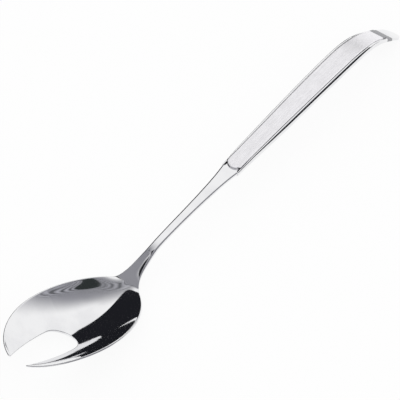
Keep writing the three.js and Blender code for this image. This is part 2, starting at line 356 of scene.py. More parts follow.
    @cached_property
    def dish(self) -> Line:
        """Half width of the dished oval, which runs on a little in front of the tines."""
        run = self.bowl_front + self.dish_beyond
        front = OvalSide(self.widest_at, run, self.bowl_width / 2, self.widest_at)
        return Line((front, *self.half_width.curves[1:]))

    @cached_property
    def ledge(self) -> Line:
        """Side view of the neck's top and the handle's ledge, from the waist to the tip."""
        waist = (self.waist_at, self.waist_height)
        shoulder = (self.shoulder_at, self.shoulder_height)
        crest = (self.crest_at, self.crest_height)
        tip = (self.tip_at, self.tip_thickness / math.hypot(1.0, self.tip_fall))
        climb = self.shoulder_climb
        return Line((
            Sweep(waist, self.waist_climb, self.waist_reach, shoulder, climb, self.shoulder_front_reach),
            Sweep(shoulder, climb, self.shoulder_back_reach, crest, 0.0, self.crest_front_reach),
            Sweep(crest, 0.0, self.crest_back_reach, tip, -self.tip_fall, self.tip_reach),
        ))

    @cached_property
    def rim(self) -> Line:
        """Side view of the rim, down from the tines to the heel and up into the neck."""
        tines = (0.0, self.tine_height)
        heel = (self.heel_at, self.heel_height)
        waist = (self.waist_at, self.waist_height)
        return Line((
            Sweep(tines, 0.0, self.rim_reach, heel, -self.heel_fall, self.heel_reach),
            Sweep(heel, self.heel_climb, self.heel_climb_reach, waist, self.waist_climb, self.waist_reach),
            *self.ledge.curves,
        ))

    @cached_property
    def middle(self) -> Line:
        """Side view of the bowl's middle, down to the belly and up the neck."""
        tines = (0.0, self.tine_height - self.tine_dip)
        belly = (self.belly_at, self.bowl_thickness)
        waist = (self.waist_at, self.waist_height)
        return Line((
            Sweep(tines, -self.scoop_fall, self.scoop_reach, belly, 0.0, self.belly_front_reach),
            Sweep(belly, 0.0, self.belly_back_reach, waist, self.waist_climb, self.waist_reach),
            *self.ledge.curves,
        ))

    def edge(self, x: float) -> float:
        """Returns the height of the straight side at the place x."""
        return eased((
            (0.0, self.tine_thickness),
            (self.widest_at, self.bowl_thickness),
            (self.heel_at, self.bowl_thickness),
            (self.waist_at, self.neck_edge),
            (self.shoulder_at, self.shoulder_edge),
            (self.crest_at, self.crest_edge),
            (self.cover_end_at, self.end_edge),
            (self.tip_at, self.tip_thickness),
        ), x)

    def depth(self, x: float) -> float:
        """Returns the thickness in the middle at the place x."""
        return eased((
            (0.0, self.tine_thickness),
            (self.widest_at, self.bowl_thickness),
            (self.heel_at, self.bowl_thickness),
            (self.waist_at, self.neck_middle),
            (self.shoulder_at, self.shoulder_depth),
            (self.crest_at, self.crest_depth),
            (self.cover_end_at, self.end_depth),
            (self.tip_at, self.tip_thickness),
        ), x)

    def thickness(self, x: float, share: float) -> float:
        """Returns the thickness at a share of the half width: straight sides and a round belly."""
        edge = self.edge(x)
        return edge + (self.depth(x) - edge) * math.sqrt(max(0.0, 1.0 - share * share))

    def swell(self, x: float) -> float:
        """Returns how far the handle's side swells out below the ledge at the place x."""
        return eased((
            (self.shoulder_at, self.front_swell),
            ((self.shoulder_at + self.crest_at) / 2, self.side_swell),
            (self.crest_at, self.side_swell),
            (self.cover_end_at, self.front_swell),
        ), x)

    def ledge_width(self, x: float) -> float:
        """Returns the width of the shell's ledge beside the cover at the place x."""
        start = self.shoulder_at
        return eased(((start, self.nose_ledge), (start + self.ledge_run, self.side_ledge)), x)

    def top(self, x: float, y: float) -> Vector:
        """Returns the point on the top of the bowl and neck over a place in plan."""
        share = abs(y) / self.dish.height(x)
        middle = self.middle.height(x)
        return Vector((x, y, middle + (self.rim.height(x) - middle) * share**self.dish_power))

    def under(self, x: float, y: float) -> Vector:
        """Returns the point on the underside, square to the top at a place in plan."""
        step = self.nearby
        along = self.top(x + step, y) - self.top(x - step, y)
        across = self.top(x, y + step) - self.top(x, y - step)
        share = min(1.0, abs(y) / self.half_width.height(x))
        return self.top(x, y) - along.cross(across).normalized() * self.thickness(x, share)

    def handle(self, x: float, y: float, drop: float) -> Vector:
        """Returns a point of the handle.

        Args:
            x: The place on the ledge line.
            y: The distance across from the middle.
            drop: The depth square to the ledge line.

        Returns:
            The point, measured from the front of the uncut oval.
        """
        slope = self.ledge.slope(x)
        lean = 1.0 / math.hypot(1.0, slope)
        return Vector((x + slope * lean * drop, y, self.ledge.height(x) - lean * drop))

    def oval(self, turn: float) -> Vector:
        """Returns the point of the oval at a turn from its front, 0, to its back, pi."""
        run = self.bowl_front if turn < math.pi / 2 else self.bowl_back
        return Vector((self.widest_at - run * math.cos(turn), self.bowl_width / 2 * math.sin(turn)))

    @cached_property
    def place(self) -> Vector:
        """Where the front of the uncut oval lies in the frame, from the cover's nose and crest."""
        low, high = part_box("handle_cover")
        crest = self.crest_height + self.cover_rise
        return Vector((low.x - self.cover_front_at, 0.0, high.z - crest))


# Shader maths


class Socket:
    """A value in a material's nodes, on which arithmetic adds Math nodes."""

    def __init__(self, shader: "Shader", output: bpy.types.NodeSocket) -> None:
        """Wraps an output of one of the shader's nodes."""
        self.shader = shader
        self.output = output

    def _math(self, operation: str, first: "Socket | float", second: "Socket | float") -> "Socket":
        """Adds a Math node over two values."""
        return self.shader.node("ShaderNodeMath", {"operation": operation}, {0: first, 1: second})

    def __add__(self, other: "Socket | float") -> "Socket":
        """Returns the sum."""
        return self._math("ADD", self, other)

    __radd__ = __add__

    def __sub__(self, other: "Socket | float") -> "Socket":
        """Returns the difference."""
        return self._math("SUBTRACT", self, other)

    def __rsub__(self, other: "Socket | float") -> "Socket":
        """Returns the difference from a number."""
        return self._math("SUBTRACT", other, self)

    def __mul__(self, other: "Socket | float") -> "Socket":
        """Returns the product."""
        return self._math("MULTIPLY", self, other)

    __rmul__ = __mul__

    def __truediv__(self, other: "Socket | float") -> "Socket":
        """Returns the quotient."""
        return self._math("DIVIDE", self, other)

    def __rtruediv__(self, other: "Socket | float") -> "Socket":
        """Returns a number divided by this value."""
        return self._math("DIVIDE", other, self)

    def ramp(self, low: float, high: float) -> "Socket":
        """Returns a smooth step of this value.

        Args:
            low: The value at which the step starts.
            high: The value at which it ends.

        Returns:
            0 below low, 1 above high and smooth between.
        """
        return self.shader.node(
            "ShaderNodeMapRange",
            {"interpolation_type": "SMOOTHSTEP"},
            {"Value": self, "From Min": low, "From Max": high},
            "Result",
        )

    def most(self, other: "Socket | float") -> "Socket":
        """Returns the larger of this and another value."""
        return self._math("MAXIMUM", self, other)

    def far(self, other: "Socket | float") -> "Socket":
        """Returns the length of the two values' diagonal."""
        return self._math("SQRT", self * self + other * other, 0.0)

    def wave(self) -> "Socket":
        """Returns the cosine of this value."""
        return self._math("COSINE", self, 0.0)


class Shader:
    """A node tree that is being written."""

    def __init__(self, tree: bpy.types.NodeTree) -> None:
        """Empties the tree and starts over."""
        self.tree = tree
        tree.nodes.clear()

    def node(
        self,
        kind: str,
        settings: dict[str, object] | None = None,
        sockets: dict[str | int, object] | None = None,
        output: str | int = 0,
    ) -> Socket:
        """Adds a node.

        Args:
            kind: The node's type.
            settings: Properties of the node, which are set first.
            sockets: Values or links of its inputs.
            output: The output to hand on.

        Returns:
            The chosen output.
        """
        node = self.tree.nodes.new(kind)
        for name, value in (settings or {}).items():
            setattr(node, name, value)
        for name, value in (sockets or {}).items():
            if isinstance(value, Socket):
                self.tree.links.new(value.output, node.inputs[name])
            else:
                node.inputs[name].default_value = value
        return Socket(self, node.outputs[output] if node.outputs else None)

    def coordinate(self, scale: Triple) -> Socket:
        """Returns the piece's Object coordinates, scaled along each axis."""
        place = self.node("ShaderNodeTexCoord", output="Object")
        return self.node("ShaderNodeMapping", None, {"Vector": place, "Scale": scale})

    def noise(self, scale: Triple, detail: float = 2.0) -> Socket:
        """Returns noise from 0 to 1 over Object coordinates, with that many grains a metre."""
        sockets = {"Vector": self.coordinate(scale), "Scale": 1.0, "Detail": detail}
        return self.node("ShaderNodeTexNoise", None, sockets, "Fac")

    def blend(self, share: Socket, first: Socket | tuple[float, ...], second: tuple[float, ...]) -> Socket:
        """Returns a colour between two, by a share from 0 to 1."""
        start = first if isinstance(first, Socket) else (*first, 1.0)
        return self.node(
            "ShaderNodeMix", {"data_type": "RGBA"}, {"Factor": share, 6: start, 7: (*second, 1.0)}, 2
        )

    def scaled(self, colour: Socket, share: Socket) -> Socket:
        """Returns a colour made lighter or darker by a factor."""
        return self.node("ShaderNodeVectorMath", {"operation": "SCALE"}, {0: colour, "Scale": share})

    def towards(self, place: Socket, direction: Vector) -> Socket:
        """Returns how far a place lies along a direction."""
        return self.node(
            "ShaderNodeVectorMath", {"operation": "DOT_PRODUCT"}, {0: place, 1: tuple(direction)}, "Value"
        )

    def seen(self) -> Socket:
        """Returns 1 where the camera, a mirror or a glass looks, and 0 for soft light."""
        camera = self.node("ShaderNodeLightPath", output="Is Camera Ray")
        glossy = self.node("ShaderNodeLightPath", output="Is Glossy Ray")
        glass = self.node("ShaderNodeLightPath", output="Is Transmission Ray")
        return camera.most(glossy).most(glass)


# Finishes


@dataclass(frozen=True)
class PaintedShadeBand:
    """Rougher ground strip across a joint of two pieces, darkened with painted shade."""

    joint: float
    before: float = 3.2 * MM
    after: float = 4.6 * MM
    edge: float = 0.1 * MM
    # Painted shade: a dark grey that stands for the grey reflection the steel shows across the joint.
    colour: Triple = (0.36, 0.36, 0.375)
    roughness: float = 0.4

    def over(self, shader: Shader, colour: Socket, roughness: Socket) -> tuple[Socket, Socket]:
        """Returns a finish's colour and roughness with the rougher strip of painted shade across it."""
        along = shader.towards(shader.coordinate((1.0, 1.0, 1.0)), Vector((1.0, 0.0, 0.0)))
        start, end = self.joint - self.before, self.joint + self.after
        # Mask of the strip whose colour is painted shade.
        share = along.ramp(start - self.edge, start) * (1 - along.ramp(end, end + self.edge))
        return shader.blend(share, colour, self.colour), roughness + share * (self.roughness - roughness)


@dataclass(frozen=True)
class Steel:
    """Stainless steel with marks that are darker and rougher than the rest."""

    name: str
    light: Triple
    dark: Triple
    smoothest: float
    roughest: float
    bump: float
    bump_height: float
    # Strip of painted shade across the joint, with a rougher finish.
    shade_band: PaintedShadeBand | None = None

    def marks(self, shader: Shader) -> tuple[Socket, Socket]:
        """Returns the share of the marks, from 0 to 1, and the height of the bump."""
        raise NotImplementedError

    def material(self) -> bpy.types.Material:
        """Makes the finish.

        Returns:
            The material, with the marks in its colour and roughness and the strip of painted shade across
            it.
        """
        material = bpy.data.materials.new(self.name)
        material.use_nodes = True
        shader = Shader(material.node_tree)
        share, height = self.marks(shader)
        bump = shader.node(
            "ShaderNodeBump", None, {"Strength": self.bump, "Distance": self.bump_height, "Height": height}
        )
        colour = shader.blend(share, self.light, self.dark)
        roughness = self.smoothest + share * (self.roughest - self.smoothest)
        # Paints shade into the colour across the joint, and roughens it there.
        if self.shade_band:
            colour, roughness = self.shade_band.over(shader, colour, roughness)
        surface = shader.node("ShaderNodeBsdfPrincipled", None, {
            "Base Color": colour,
            "Metallic": 1.0,
            "Roughness": roughness,
            "Normal": bump,
        })
        shader.node("ShaderNodeOutputMaterial", None, {"Surface": surface})
        return material


@dataclass(frozen=True)
class PolishedSteel(Steel):
    """Mirror-polished stainless steel, faintly clouded, with fine buffing lines across the spoon."""

    name: str = "mirror_polished_steel"
    light: Triple = (0.86, 0.86, 0.87)
    dark: Triple = (0.80, 0.80, 0.815)
    smoothest: float = 0.03
    roughest: float = 0.07
    bump: float = 0.02
    bump_height: float = 0.02 * MM
    cloud_scale: Triple = (90.0, 90.0, 90.0)
    line_scale: Triple = (2600.0, 120.0, 120.0)

    def marks(self, shader: Shader) -> tuple[Socket, Socket]:
        """Returns the clouding and the height of the buffing lines."""
        cloud = shader.noise(self.cloud_scale, 3.0).ramp(0.35, 0.7)
        return cloud, shader.noise(self.line_scale)


@dataclass(frozen=True)
class SatinSteel(Steel):
    """Stainless steel with a fine satin grain along the handle."""

    name: str = "satin_steel"
    light: Triple = (0.92, 0.91, 0.935)
    dark: Triple = (0.87, 0.86, 0.885)
    smoothest: float = 0.20
    roughest: float = 0.25
    bump: float = 0.02
    bump_height: float = 0.03 * MM
    grain_scale: Triple = (70.0, 2600.0, 2600.0)
    cloud_scale: Triple = (220.0, 420.0, 420.0)
    cloud_share: float = 0.35

    def marks(self, shader: Shader) -> tuple[Socket, Socket]:
        """Returns the grain, a little clouded, and its height."""
        grain = shader.noise(self.grain_scale, 3.0)
        cloud = shader.noise(self.cloud_scale, 3.0)
        share = grain * (1 - self.cloud_share) + cloud * self.cloud_share
        return share.ramp(0.3, 0.7), grain


@dataclass(frozen=True)
class Cement:
    """Hard grey cement inside the handle."""

    name: str = "handle_cement"
    light: Triple = (0.58, 0.56, 0.52)
    dark: Triple = (0.46, 0.44, 0.40)
    smoothest: float = 0.7
    roughest: float = 1.0
    bump: float = 0.5
    bump_height: float = 0.1 * MM
    grain_scale: Triple = (1800.0, 1800.0, 1800.0)

    def material(self) -> bpy.types.Material:
        """Returns the material, with sandy grains."""
        material = bpy.data.materials.new(self.name)
        material.use_nodes = True
        shader = Shader(material.node_tree)
        grains = shader.noise(self.grain_scale, 4.0)
        bump = shader.node(
            "ShaderNodeBump", None, {"Strength": self.bump, "Distance": self.bump_height, "Height": grains}
        )
        surface = shader.node("ShaderNodeBsdfPrincipled", None, {
            "Base Color": shader.blend(grains, self.light, self.dark),
            "Roughness": self.smoothest + grains * (self.roughest - self.smoothest),
            "Normal": bump,
        })
        shader.node("ShaderNodeOutputMaterial", None, {"Surface": surface})
        return material


# Pieces


class Form:
    """A mesh that is being shaped."""

    def __init__(self, name: str) -> None:
        """Starts an empty mesh for a piece of that name."""
        self.name = name
        self.bm = bmesh.new()

    def sheet(self, rows: int, columns: int, point: Callable[[int, int], Vector]) -> None:
        """Lays a grid over a surface.

        Args:
            rows: Steps along the spoon.
            columns: Steps across it.
            point: Gives the surface's point for a row and a column.
        """
        made = bmesh.ops.create_grid(self.bm, x_segments=rows, y_segments=columns, size=0.5)
        for vertex in made["verts"]:
            row = round((vertex.co.x + 0.5) * rows)
            column = round((vertex.co.y + 0.5) * columns)
            vertex.co = point(row, column)

    def mirror(self) -> None:
        """Adds the other half, on the far side of the spoon's middle."""
        whole = self.bm.verts[:] + self.bm.edges[:] + self.bm.faces[:]
        bmesh.ops.mirror(self.bm, geom=whole, axis="Y", merge_dist=SAME_SPOT)

    def thicken(self, under: Callable[[Vector], Vector]) -> None:
        """Gives the sheet its thickness.

        Args:
            under: Gives the underside's point for a point of the top.
        """
        made = bmesh.ops.extrude_face_region(self.bm, geom=self.bm.faces[:], use_keep_orig=True)
        for vertex in self.vertices(made["geom"]):
            vertex.co = under(vertex.co)
        self.outward()

    def draw_out(
        self, faces: list[bmesh.types.BMFace], move: Callable[[Vector], Vector]
    ) -> list[bmesh.types.BMFace]:
        """Extrudes faces and moves the new ones.

        Args:
            faces: The faces to draw out.
            move: Gives the new place of a point.

        Returns:
            The faces at the new end.
        """
        made = bmesh.ops.extrude_face_region(self.bm, geom=faces)
        bmesh.ops.delete(self.bm, geom=faces, context="FACES_KEEP_BOUNDARY")
        for vertex in self.vertices(made["geom"]):
            vertex.co = move(vertex.co)
        return [g for g in made["geom"] if isinstance(g, bmesh.types.BMFace)]

    def outward(self) -> None:
        """Turns every face outward."""
        bmesh.ops.recalc_face_normals(self.bm, faces=self.bm.faces[:])

    @staticmethod
    def vertices(geometry: Iterable[object]) -> list[bmesh.types.BMVert]:
        """Returns the vertices among some geometry."""
        return [g for g in geometry if isinstance(g, bmesh.types.BMVert)]

    def finish(self, place: Vector) -> bpy.types.Object:
        """Makes the piece's object.

        Args:
            place: Where the shape's own origin lies in the frame.

        Returns:
            The object, smooth all over.
        """
        bmesh.ops.translate(self.bm, verts=self.bm.verts[:], vec=place)
        mesh = bpy.data.meshes.new(self.name)
        self.bm.to_mesh(mesh)
        self.bm.free()
        mesh.shade_smooth()
        piece = bpy.data.objects.new(self.name, mesh)
        bpy.context.scene.collection.objects.link(piece)
        return piece


def dress(piece: bpy.types.Object, node: str, slot: Slot, material: bpy.types.Material) -> bpy.types.Object:
    """Sets a finished piece in the frame.

    Args:
        piece: The new piece.
        node: The CAD node that it stands for.
        slot: The record's slot for its finish; not used.
        material: Its material.

    Returns:
        The piece.
    """
    piece.data.materials.append(material)
    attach(piece, ROOT)
    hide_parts(node)
    return piece


def round_edges(piece: bpy.types.Object, width: float, segments: int) -> None:
    """Rounds a piece's sharp edges.

    Args:
        piece: The piece.
        width: How far the rounding reaches from each edge.
        segments: Steps round it.
    """
    bevel = piece.modifiers.new("rounded_edges", "BEVEL")
    bevel.width = width
    bevel.segments = segments
    bevel.limit_method = "ANGLE"
    bevel.angle_limit = SHARP_EDGE
    bevel.use_clamp_overlap = True


def refine(piece: bpy.types.Object, levels: int) -> None:
    """Smooths a piece by subdivision, as fine in the viewport as in the render."""
    smooth = piece.modifiers.new("smooth", "SUBSURF")
    smooth.levels = levels
    smooth.render_levels = levels


@dataclass
class Blade:
    """Bowl with its notch and tines, neck and tang, pressed from one strip of steel."""

    lines: SpoonLines
    notch_depth: float = 40.4 * MM
    notch_width: float = 17 * MM
    notch_mouth: float = 9.2 * MM
    notch_swell: float = 17 * MM
    tine_setback: float = 1.6 * MM
    tip_turn: float = 0.21
    side_turn: float = 1.22
    root_turn: float = 1.78
    edge_hold: float = 0.45 * MM
    notch_hold: float = 0.7 * MM
    neck_hold: float = 1.3 * MM
    plug_share: float = 0.78
    facing: float = 0.9
    tang_width: float = 3.6 * MM
    tang_length: float = 36 * MM
    tang_drop: float = 0.8 * MM
    tang_thickness: float = 1.5 * MM
    columns: int = 13
    tine_rows: int = 16
    root_rows: int = 9
    back_rows: int = 20
    fillet_rows: int = 12
    neck_rows: int = 16
    levels: int = 2

    def notch_side(self, share: float) -> Vector:
        """Returns the point of the notch's side at a share from the tine's tip to the round root."""
        half = self.notch_width / 2
        root_at = self.notch_depth - half
        tip = Vector((self.tine_setback, self.notch_mouth / 2))
        swell = Vector((root_at - self.notch_swell, half))
        root = Vector((root_at, half))
        rest = 1.0 - share
        return tip * rest**2 + swell * (2 * share * rest) + root * share**2

    def notch_root(self, turn: float) -> Vector:
        """Returns the point of the notch's round root at a turn from its side to the middle."""
        half = self.notch_width / 2
        return Vector((self.notch_depth - half + half * math.sin(turn), half * math.cos(turn)))

    def rows(self) -> list[tuple[Vector, Vector, bool]]:
        """Lists the rows of one half of the sheet, in plan.

        Returns:
            For each row its inner end, its outer end and whether it starts at the notch.
        """
        lines = self.lines
        found: list[tuple[Vector, Vector, bool]] = []
        held = self.edge_hold / self.notch_depth
        for share in [0.0, held, *even(held, 1.0, self.tine_rows)[1:]]:
            turn = self.tip_turn + (self.side_turn - self.tip_turn) * share
            found.append((self.notch_side(share), lines.oval(turn), True))
        for share in even(0.0, 1.0, self.root_rows)[1:]:
            turn = self.side_turn + (self.root_turn - self.side_turn) * share
            found.append((self.notch_root(share * math.pi / 2), lines.oval(turn), True))
        back_turn = math.pi - lines.oval_leaves
        back_at = lines.fillet.start[0]
        for share in [held, *even(held, 1.0, self.back_rows)[1:]]:
            turn = self.root_turn + (back_turn - self.root_turn) * share
            inner = Vector((self.notch_depth + (back_at - self.notch_depth) * share, 0.0))
            found.append((inner, lines.oval(turn), False))
        stations = [lines.fillet.at(share).x for share in even(0.0, 1.0, self.fillet_rows)[1:]]
        stations += even(lines.waist_at, lines.shoulder_at - self.edge_hold, self.neck_rows)[1:]
        stations += [lines.shoulder_at]
        for x in stations:
            found.append((Vector((x, 0.0)), Vector((x, lines.half_width.height(x))), False))
        return found

    def shares(self, x: float, width: float, notched: bool) -> list[float]:
        """Spaces the columns of one row.

        Args:
            x: Where the row's outer end is.
            width: The row's length.
            notched: Whether its inner end is an edge too.

        Returns:
            The columns' shares of the row, with one close to each edge.
        """
        lines = self.lines
        stops = ((lines.heel_at, self.edge_hold), (lines.waist_at, self.neck_hold))
        hold = min(eased(stops, x) / width, 0.5)
        if notched:
            inner = min(self.notch_hold / width, 0.3)
            return [0.0, *even(inner, 1.0 - hold, self.columns - 2), 1.0]
        return [*even(0.0, 1.0 - hold, self.columns - 1), 1.0]

    def build(self, material: bpy.types.Material) -> bpy.types.Object:
        """Makes the blade.

        Args:
            material: Its finish.

        Returns:
            The piece that stands for the CAD blade.
        """
        lines = self.lines
        rows = self.rows()

        def point(row: int, column: int) -> Vector:
            """Returns the sheet's point for a row and a column."""
            inner, outer, notched = rows[row]
            share = self.shares(outer.x, (outer - inner).length, notched)[column]
            spot = inner.lerp(outer, share)
            return lines.top(spot.x, spot.y)

        form = Form("blade")
        form.sheet(len(rows) - 1, self.columns, point)
        form.mirror()
        form.thicken(lambda top: lines.under(top.x, top.y))
        self.add_tang(form)
        piece = form.finish(lines.place)
        refine(piece, self.levels)
        return dress(piece, "spoon_blade", Slot.POLISHED, material)

    def add_tang(self, form: Form) -> None:
        """Draws the plug and the tang out of the blade's end.

        Args:
            form: The blade's mesh.
        """
        lines = self.lines
        joint = lines.shoulder_at
        plug_end = lines.plug_end_at
        backs = [f for f in form.bm.faces if f.normal.x > self.facing]
        end = [f for f in backs if f.calc_center_median().x > joint - MM]
        half = lines.half_width.height(joint)
        ledge = lines.ledge.height(joint)
        slim = self.tang_width / 2 / (half * self.plug_share)

        def step_in(spot: Vector) -> Vector:
            """Narrows the end to the plug's section."""
            drop = (ledge - spot.z) * self.plug_share
            return lines.handle(joint + self.edge_hold, spot.y * self.plug_share, drop)

        def draw_back(spot: Vector) -> Vector:
            """Moves the plug's section to its end."""
            drop = lines.ledge.height(joint + self.edge_hold) - spot.z
            return lines.handle(plug_end, spot.y, drop)

        def narrow(spot: Vector) -> Vector:
            """Narrows the plug's end to the tang's section."""
            lower = lines.ledge.height(plug_end) - spot.z > self.tang_thickness / 2
            drop = self.tang_drop + (self.tang_thickness if lower else 0.0)
            return lines.handle(plug_end + self.edge_hold, spot.y * slim, drop)

        def draw_tang(spot: Vector) -> Vector:
            """Moves the tang's section to its end."""
            climb = lines.ledge.height(plug_end + self.tang_length) - lines.ledge.height(plug_end)
            return spot + Vector((self.tang_length, 0.0, climb))

        for move in (step_in, draw_back, narrow, draw_tang):
            end = form.draw_out(end, move)
        form.outward()


@dataclass
class LowerShell:
    """Polished trough that makes the underside and sides of the hollow handle."""

    lines: SpoonLines
    seam: float = 0.06 * MM
    sheet: float = 0.6 * MM
    edge_round: float = 0.18 * MM
    round_steps: int = 3
    lift: float = 0.88 * MM
    lift_run: float = 15 * MM
    side_lean: float = 0.71
    end_lean: float = 1.0
    rows: int = 104
    side_columns: int = 4
    belly_columns: int = 32

    def ledge_lift(self, x: float) -> float:
        """Returns how far the ground ledge stands up beside the cover at the place x."""
        lines = self.lines
        start, end = lines.shoulder_at, lines.cover_end_at
        run = self.lift_run
        return eased(((start, 0.0), (start + run, self.lift), (end - run, self.lift), (end, 0.0)), x)

    def side(self, x: float, column: int) -> tuple[float, float]:
        """Returns the side's point at a column: a level ledge, a sloped face and an upright one.

        Args:
            x: The place along the handle.
            column: Steps from the ledge's inner edge.

        Returns:
            The distance outside the ledge's outer edge and the depth below the ledge line.
        """
        lines = self.lines
        top = -self.ledge_lift(x)
        if column == 0:
            return self.seam - lines.ledge_width(x), top
        swell = lines.swell(x)
        lean = eased(((lines.crest_at, self.side_lean), (lines.cover_end_at, self.end_lean)), x)
        foot = min(lines.edge(x), top + swell / lean)
        share = (column - 1) / (self.side_columns - 2)
        return swell * share, top + (foot - top) * share

    def build(self, material: bpy.types.Material) -> bpy.types.Object:
        """Makes the trough.

        Args:
            material: Its finish.

        Returns:
            The piece that stands for the CAD shell.
        """
        lines = self.lines
        stations = even(lines.shoulder_at + self.seam, lines.cover_end_at, self.rows)
        columns = 2 * self.side_columns + self.belly_columns

        def point(row: int, column: int) -> Vector:
            """Returns the skin's point for a row and a column round the trough."""
            x = stations[row]
            half = lines.half_width.height(x)
            from_ledge = min(column, columns - column)
            if from_ledge < self.side_columns:
                out, drop = self.side(x, from_ledge)
                return lines.handle(x, math.copysign(half + out, columns / 2 - column), drop)
            share = math.cos(math.pi * (column - self.side_columns) / self.belly_columns)
            return lines.handle(x, (half + lines.swell(x)) * share, lines.thickness(x, share))

        form = Form("lower_shell")
        form.sheet(self.rows, columns, point)
        form.bm.normal_update()
        bmesh.ops.solidify(form.bm, geom=form.bm.faces[:], thickness=self.sheet)
        form.outward()
        piece = form.finish(lines.place)
        round_edges(piece, self.edge_round, self.round_steps)
        return dress(piece, "handle_lower_shell", Slot.POLISHED, material)


@dataclass
class Cover:
    """Satin top of the handle, a shallow pan with an arc-shaped nose."""

    lines: SpoonLines
    sheet: float = 0.6 * MM
    skirt: float = 0.9 * MM
    skirt_setback: float = 2 * MM
    foot_gap: float = 0.08 * MM
    bow: float = 2.5 * MM
    edge_round: float = 0.3 * MM
    round_steps: int = 3
    rows: int = 110
    columns: int = 14

    def half_width(self, x: float) -> float:
        """Returns the cover's half width at the place x."""
        return self.lines.half_width.height(x) - self.lines.ledge_width(x)

    def front(self, y: float) -> float:
        """Returns where the nose's arc lies at the distance y from the middle."""
        start = self.lines.cover_front_at
        half = self.half_width(start + self.bow)
        radius = (half * half + self.bow * self.bow) / (2 * self.bow)
        return start + radius - math.sqrt(radius * radius - y * y)

    def build(self, material: bpy.types.Material) -> bpy.types.Object:
        """Makes the cover.

        Args:
            material: Its finish.

        Returns:
            The piece that stands for the CAD cover.
        """
        lines = self.lines
        nose = self.half_width(lines.cover_front_at + self.bow)
        skirt_from = lines.plug_end_at + self.skirt_setback

        def point(row: int, column: int) -> Vector:
            """Returns the top's point for a row and a column."""
            across = 2 * column / self.columns - 1
            start = self.front(nose * across)
            x = start + (lines.cover_end_at - start) * row / self.rows
            return lines.handle(x, self.half_width(x) * across, -lines.cover_rise)

        def foot(top: Vector) -> Vector:
            """Returns the foot of the wall under a point of the top's edge."""
            behind = skirt_from < top.x < lines.cover_end_at - self.skirt
            depth = lines.cover_rise + (self.skirt if behind else -self.foot_gap)
            return top + lines.handle(top.x, 0.0, depth) - lines.handle(top.x, 0.0, 0.0)

        form = Form("cover")
        form.sheet(self.rows, self.columns, point)
        edges = [e for e in form.bm.edges if e.is_boundary]
        walls = bmesh.ops.extrude_edge_only(form.bm, edges=edges)
        for vertex in form.vertices(walls["geom"]):
            vertex.co = foot(vertex.co)
        form.outward()
        bmesh.ops.solidify(form.bm, geom=form.bm.faces[:], thickness=self.sheet)
        form.outward()
        piece = form.finish(lines.place)
        round_edges(piece, self.edge_round, self.round_steps)
        return dress(piece, "handle_cover", Slot.SATIN, material)


@dataclass
class EndCap:
    """Solid polished end of the handle, which bends down to the table."""

    lines: SpoonLines
    seam: float = 0.06 * MM
    bow: float = 4.6 * MM
    edge_round: float = 0.35 * MM
    round_steps: int = 4
    spigot_length: float = 10 * MM
    spigot_share: float = 0.7
    facing: float = 0.5
    rows: int = 26
    columns: int = 24

    def end(self, y: float) -> float:
        """Returns where the end's arc lies at the distance y from the middle."""
        half = self.lines.end_width / 2
        radius = (half * half + self.bow * self.bow) / (2 * self.bow)
        return self.lines.tip_at - radius + math.sqrt(radius * radius - y * y)

    def build(self, material: bpy.types.Material) -> bpy.types.Object:
        """Makes the end cap.

        Args:
            material: Its finish.

        Returns:
            The piece that stands for the CAD cap.
        """
        lines = self.lines
        start = lines.cover_end_at + self.seam
        half = lines.end_width / 2

        def point(row: int, column: int) -> Vector:
            """Returns the top's point for a row and a column."""
            y = half * (2 * column / self.columns - 1)
            x = start + (self.end(y) - start) * row / self.rows
            return lines.handle(x, y, 0.0)

        def under(top: Vector) -> Vector:
            """Returns the underside's point for a point of the top."""
            share = min(1.0, abs(top.y) / half)
            return lines.handle(top.x, top.y, lines.thickness(top.x, share))

        form = Form("end_cap")
        form.sheet(self.rows, self.columns, point)
        form.thicken(under)
        self.add_spigot(form)
        piece = form.finish(lines.place)
        round_edges(piece, self.edge_round, self.round_steps)
        return dress(piece, "handle_end_cap", Slot.POLISHED, material)

    def add_spigot(self, form: Form) -> None:
        """Draws the spigot out of the cap's front face.

        Args:
            form: The cap's mesh.
        """
        lines = self.lines
        start = lines.cover_end_at + self.seam
        middle = lines.handle(start, 0.0, lines.depth(start) / 2)
        fronts = [f for f in form.bm.faces if f.normal.x < -self.facing]
        front = [f for f in fronts if (f.calc_center_median() - middle).x < MM]

        def step_in(spot: Vector) -> Vector:
            """Shrinks the front face to the spigot's section."""
            return middle + (spot - middle) * self.spigot_share

        def draw_forward(spot: Vector) -> Vector:
            """Moves the section up the handle."""
            return spot + lines.handle(start - self.spigot_length, 0.0, 0.0) - lines.handle(start, 0.0, 0.0)

        front = form.draw_out(front, step_in)
        form.draw_out(front, draw_forward)
        form.outward()


# Studio


@dataclass(frozen=True)
class Viewpoint:
    """The camera, on the photograph's side of the spoon."""

    turn: float = math.radians(53.53)
    elevation: float = math.radians(46.23)
    roll: float = math.radians(0.970)
    distance: float = 1515.4 * MM
    lens: float = 270.0
    sensor: float = 36.0
    aim: Triple = (-4.82 * MM, 7.55 * MM, 1.68 * MM)

    def build(self) -> bpy.types.Object:
        """Makes the camera and hands it to the scene."""
        ahead = Vector((
            math.sin(self.turn) * math.cos(self.elevation),
            math.cos(self.turn) * math.cos(self.elevation),
            -math.sin(self.elevation),
        ))
        right = Vector((math.cos(self.turn), -math.sin(self.turn), 0.0))
        turned = Matrix((right, right.cross(ahead), -ahead)).transposed()
        data = bpy.data.cameras.new("camera")
        data.lens = self.lens
        data.sensor_width = self.sensor
        camera = bpy.data.objects.new("camera", data)
        camera.matrix_world = Matrix.Translation(Vector(self.aim) - ahead * self.distance) @ (
            turned @ Matrix.Rotation(self.roll, 3, "Z")
        ).to_4x4()
        bpy.context.scene.collection.objects.link(camera)
        bpy.context.scene.camera = camera
        return camera


def sky_direction(turn: float, elevation: float) -> Vector:
    """Returns the direction at a turn from X towards Y and an elevation, in radians."""
    level = math.cos(elevation)
    return Vector((level * math.cos(turn), level * math.sin(turn), math.sin(elevation)))


